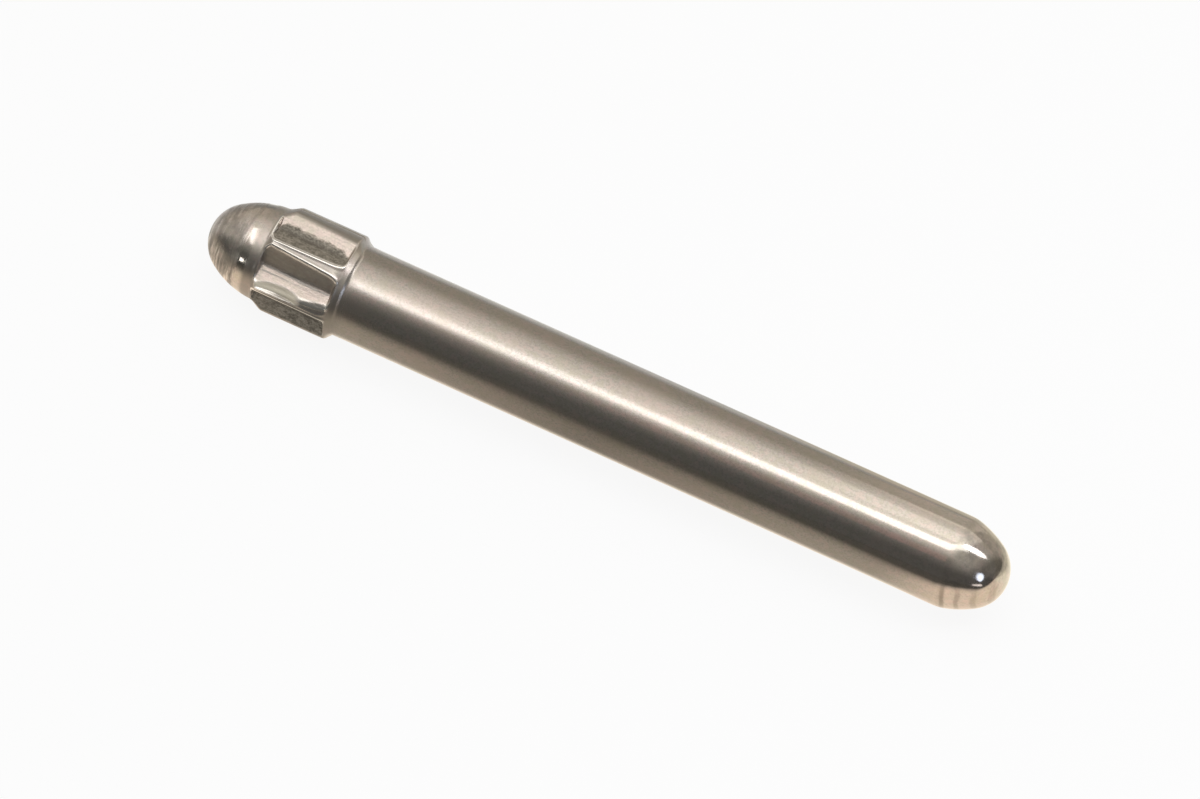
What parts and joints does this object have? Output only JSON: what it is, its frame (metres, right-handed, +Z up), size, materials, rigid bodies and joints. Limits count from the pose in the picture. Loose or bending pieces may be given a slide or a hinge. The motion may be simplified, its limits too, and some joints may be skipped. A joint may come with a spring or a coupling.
{
  "type": "pawl pin",
  "caption": "Straight steel pivot pin for a locking pawl, with rounded ends and a raised serrated band behind its nose that grips a drilled hole.",
  "frame": {"origin": "on the pin's axis, at the shoulder where the plain shaft meets the serrated band", "axes": "+X along the axis towards the plain end, +Z up through one flute of the band while the pin lies on the edges of the opposite flute"},
  "size_m": [0.0546, 0.0068, 0.0066],
  "materials": {
    "ground_steel": "satin, centreless ground, bare and lightly oiled"
  },
  "bodies": {
    "root": {"pawl_pin": "ground_steel"}
  },
  "joints": []
}
